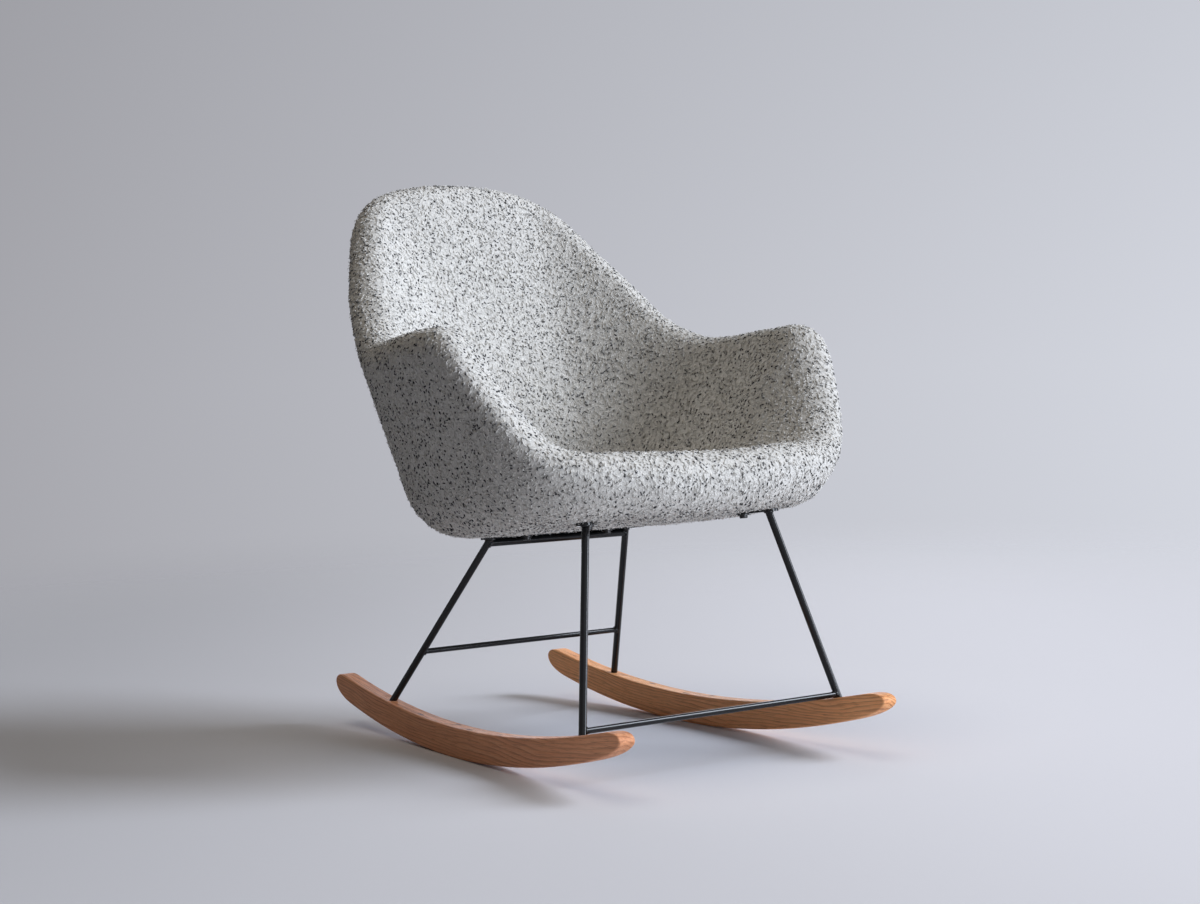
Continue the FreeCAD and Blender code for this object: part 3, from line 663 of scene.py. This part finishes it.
def make_pile(cover):
    """Tufts over the whole cover, in four parts round the seat."""
    rng = np.random.default_rng(PILE_SEED)
    roots, normals = scattered(cover.data, TUFT_DENSITY, rng)
    clear = nearness(roots, FITTINGS) > TUFT_CLEAR
    roots, normals = roots[clear], normals[clear]
    middle = (np.array(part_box("seat_shell")[0]) + np.array(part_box("seat_shell")[1])) / 2.0
    angle = np.arctan2(roots[:, 0] - middle[0], middle[1] - roots[:, 1])
    quarter = np.floor((angle + math.pi / 4.0) / (math.pi / 2.0)).astype(int) % len(PILE_PARTS)
    made = []
    for k, part in enumerate(PILE_PARTS):
        made.append(tufts(part, roots[quarter == k], normals[quarter == k], rng))
    return made


# Welds
def rim(node, chosen, plane):
    """Points of a rod's end in order round it. plane names the two axes that they turn in."""
    points = np.unique(points_of(NODES[node].data).round(6), axis=0)
    points = points[chosen(points)]
    offset = points[:, plane] - points[:, plane].mean(0)
    far = np.linalg.norm(offset, axis=1)
    outer = far > WELD_RIM * far.max()
    points, offset = points[outer], offset[outer]
    angles = np.arctan2(offset[:, 1], offset[:, 0])
    order = np.argsort(angles)
    angles, points = angles[order], points[order]
    even = np.linspace(-math.pi, math.pi, WELD_STEPS, endpoint=False)
    return np.stack([np.interp(even, angles, points[:, k], period=2.0 * math.pi) for k in range(3)], 1)


def bead(loop):
    """A round bead along a closed loop, with the faint ripple of a weld."""
    ahead = unit(np.roll(loop, -1, 0) - np.roll(loop, 1, 0))
    outward = unit(loop - loop.mean(0))
    outward = unit(outward - ahead * (outward * ahead).sum(1)[:, None])
    upright = np.cross(ahead, outward)
    ripple = WELD_RADIUS * (1.0 + WELD_RIPPLE * np.cos(np.arange(len(loop)) * math.pi))
    rows = []
    for angle in np.linspace(0.0, 2.0 * math.pi, WELD_SIDES, endpoint=False):
        rows.append(loop + (outward * math.cos(angle) + upright * math.sin(angle)) * ripple[:, None])
    points = np.stack(rows, 1).reshape(-1, 3)
    triangles = []
    for i in range(len(loop)):
        for k in range(WELD_SIDES):
            after, beside = (i + 1) % len(loop), (k + 1) % WELD_SIDES
            a, b = i * WELD_SIDES + k, after * WELD_SIDES + k
            c, d = after * WELD_SIDES + beside, i * WELD_SIDES + beside
            triangles += [(a, b, c), (a, c, d)]
    return points, np.array(triangles)


def make_welds():
    """Beads where the rods meet each other and their plates."""
    loops = []
    for node in ("rear_stretcher", "front_stretcher", "rear_cross_bar"):
        for side in (-1.0, 1.0):
            loops.append(rim(node, lambda p, s=side: p[:, 0] * s > 0.0, [1, 2]))
    for node in ("left_front_leg", "right_front_leg", "left_rear_leg", "right_rear_leg"):
        middle = sum(c.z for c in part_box(node)) / 2.0
        loops.append(rim(node, lambda p, m=middle: p[:, 2] > m, [0, 1]))
    points, triangles, count = [], [], 0
    for loop in loops:
        some, faces = bead(loop)
        points.append(some)
        triangles.append(faces + count)
        count += len(some)
    mesh = triangle_mesh("weld_beads", np.concatenate(points), np.concatenate(triangles))
    return linked("weld_beads", mesh)


# Stage: a floor that fades out, between these distances, into a backdrop. Both are darker to the left,
# over spans across the view: painted shade on the side away from the lamps.
FLOOR_RADIUS = 9.0
FLOOR_SEGMENTS = 96
FLOOR_FADE = (1.0, 4.2)
FLOOR_SPAN = (-1.3, 1.0)
FLOOR_LEFT = (0.462, 0.458, 0.474)
FLOOR_RIGHT = (0.875, 0.87, 0.912)
BACK_LEFT = (0.375, 0.375, 0.405)
BACK_RIGHT = (0.655, 0.675, 0.74)
BACK_SPAN = (-0.32, 0.30)
BACK_TOP = 0.88
BACK_RISE = (0.0, 0.2)
LAMP_COLOUR = (0.895, 0.97, 1.10)
WARM_COLOUR = (1.09, 1.0, 0.88)
AMBIENT = (0.004, 0.004, 0.004)
RIGHT = Vector((math.cos(CAMERA_YAW), -math.sin(CAMERA_YAW), 0.0))
AHEAD = Vector((math.sin(CAMERA_YAW), math.cos(CAMERA_YAW), 0.0))
UP = Vector((0.0, 0.0, 1.0))
SUBJECT = Vector((0.0, 0.0, 0.42))
# Lamps: bearing from the camera's right towards the camera, height and spread in degrees, level, colour.
# The strip is low enough to be mirrored in the front legs, and the rear lamp shows the chair's back.
LAMPS = (
    ("key", 4.0, 36.0, 26.0, 0.73, LAMP_COLOUR),
    ("strip", -4.0, 13.0, 24.0, 0.36, LAMP_COLOUR),
    ("fill", 38.0, 0.0, 24.0, 0.56, LAMP_COLOUR),
    ("bounce", 145.0, 80.0, 50.0, 0.25, WARM_COLOUR),
    ("rear", 262.0, 10.0, 40.0, 0.20, LAMP_COLOUR),
)


def make_floor():
    """A pale floor with painted shade, darker to the left, away from the lamps."""
    bm = bmesh.new()
    bmesh.ops.create_circle(bm, cap_ends=True, radius=FLOOR_RADIUS, segments=FLOOR_SEGMENTS)
    mesh = bpy.data.meshes.new("floor")
    bm.to_mesh(mesh)
    bm.free()
    floor = linked("floor", mesh)
    look = Look("floor", Roughness=0.75)
    look.set(look.shader, {"Specular IOR Level": 0.0})
    place = look.place()
    far = look.node("VectorMath", {0: place}, operation="LENGTH").outputs["Value"]
    across = look.node("VectorMath", {0: place, 1: RIGHT}, operation="DOT_PRODUCT").outputs["Value"]
    # Painted shade: the floor's colour darkens to the left, away from the lamps.
    colour = look.mix(look.step(across, *FLOOR_SPAN), FLOOR_LEFT, FLOOR_RIGHT)
    look.finish(Base_Color=colour)
    clear = look.node("BsdfTransparent")
    fade = look.node("MixShader", {0: look.step(far, *FLOOR_FADE), 1: look.shader.outputs[0],
                                   2: clear.outputs[0]})
    look.tree.links.new(fade.outputs[0], look.tree.nodes["Material Output"].inputs["Surface"])
    mesh.materials.append(look.material)


def make_world():
    """Dim light from all round. What is seen of it is a pale backdrop with painted shade, darker to the
    left and above.
    """
    world = bpy.data.worlds.new("studio")
    SCENE.world = world
    world.use_nodes = True
    tree = world.node_tree
    sky = tree.nodes["Background"]
    sky.inputs["Color"].default_value = (*AMBIENT, 1.0)
    seen = tree.nodes.new("ShaderNodeBackground")
    way = tree.nodes.new("ShaderNodeTexCoord")

    def span(axis, low, high, to_low, to_high):
        along = tree.nodes.new("ShaderNodeVectorMath")
        along.operation = "DOT_PRODUCT"
        along.inputs[1].default_value = axis
        tree.links.new(way.outputs["Generated"], along.inputs[0])
        made = tree.nodes.new("ShaderNodeMapRange")
        for index, value in enumerate((low, high, to_low, to_high), 1):
            made.inputs[index].default_value = value
        tree.links.new(along.outputs["Value"], made.inputs[0])
        return made.outputs[0]

    # Painted shade: the backdrop darkens to the left, away from the lamps, and is dimmer above.
    tint = tree.nodes.new("ShaderNodeMix")
    tint.data_type = "RGBA"
    tint.inputs[6].default_value = (*BACK_LEFT, 1.0)
    tint.inputs[7].default_value = (*BACK_RIGHT, 1.0)
    tree.links.new(span(RIGHT, *BACK_SPAN, 0.0, 1.0), tint.inputs[0])
    tree.links.new(tint.outputs[2], seen.inputs["Color"])
    tree.links.new(span(UP, *BACK_RISE, 1.0, BACK_TOP), seen.inputs["Strength"])
    path = tree.nodes.new("ShaderNodeLightPath")
    most = path.outputs["Is Camera Ray"]
    for name in ("Is Glossy Ray", "Is Transmission Ray"):
        join = tree.nodes.new("ShaderNodeMath")
        join.operation = "MAXIMUM"
        tree.links.new(most, join.inputs[0])
        tree.links.new(path.outputs[name], join.inputs[1])
        most = join.outputs[0]
    pick = tree.nodes.new("ShaderNodeMixShader")
    tree.links.new(most, pick.inputs[0])
    tree.links.new(sky.outputs[0], pick.inputs[1])
    tree.links.new(seen.outputs[0], pick.inputs[2])
    tree.links.new(pick.outputs[0], tree.nodes["World Output"].inputs["Surface"])


def make_lamp(name, bearing, height, spread, level, colour):
    """A distant soft light. At level 1 a surface that faces it shows its own colour."""
    turn, rise = math.radians(bearing), math.radians(height)
    flat = RIGHT * math.cos(turn) - AHEAD * math.sin(turn)
    way = flat * math.cos(rise) + UP * math.sin(rise)
    data = bpy.data.lights.new(name, "SUN")
    data.angle = math.radians(spread)
    data.energy = level * math.pi
    data.color = colour
    lamp = bpy.data.objects.new(name, data)
    SCENE.collection.objects.link(lamp)
    lamp.location = SUBJECT + way
    lamp.rotation_euler = way.to_track_quat("Z", "Y").to_euler()


def make_camera():
    """The camera at the photograph's angle."""
    data = bpy.data.cameras.new("camera")
    data.sensor_width = SENSOR
    data.sensor_fit = "HORIZONTAL"
    data.lens = SENSOR * FOCAL_PIXELS / FRAME_PIXELS
    data.clip_start, data.clip_end = CLIP
    camera = bpy.data.objects.new("camera", data)
    SCENE.collection.objects.link(camera)
    view = AHEAD * math.cos(CAMERA_PITCH) - UP * math.sin(CAMERA_PITCH)
    up = RIGHT.cross(view)
    right = RIGHT * math.cos(CAMERA_ROLL) + up * math.sin(CAMERA_ROLL)
    top = up * math.cos(CAMERA_ROLL) - RIGHT * math.sin(CAMERA_ROLL)
    turn = Matrix((right, top, -view)).transposed()
    camera.matrix_world = Matrix.Translation(CAMERA_PLACE) @ turn.to_4x4()
    SCENE.camera = camera


# Moulded pieces: dark and pale colour, scale of the grain, roughness
RUBBER = ((0.018, 0.018, 0.018), (0.045, 0.044, 0.042), 900.0, 0.7)
SHELL = ((0.10, 0.10, 0.10), (0.15, 0.15, 0.148), 1400.0, 0.5)


def dress():
    """Materials on the CAD nodes, and the pieces that stand for the soft ones."""
    wear(oak_look(), "left_rocker", "right_rocker")
    steel = steel_look()
    wear(steel, *FITTINGS, "front_stretcher", "rear_stretcher")
    wear(dark_steel_look(), "t_nuts", "seat_bolts", "bolt_washers", "rocker_nuts", "rocker_washers")
    wear(moulded_look("rubber", *RUBBER), "rubber_spacers")
    wear(moulded_look("shell", *SHELL), "seat_shell")

    cover = make_cover()
    wear(boucle_look(), cover)
    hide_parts(*SOFT_NODES)
    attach(cover, "root")
    yarn = pile_look()
    for part in make_pile(cover):
        wear(yarn, part)
        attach(part, "root")
    welds = make_welds()
    wear(steel, welds)
    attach(welds, "root")


dress()
make_floor()
make_world()
for lamp_values in LAMPS:
    make_lamp(*lamp_values)
make_camera()
SCENE.view_settings.view_transform = "Standard"
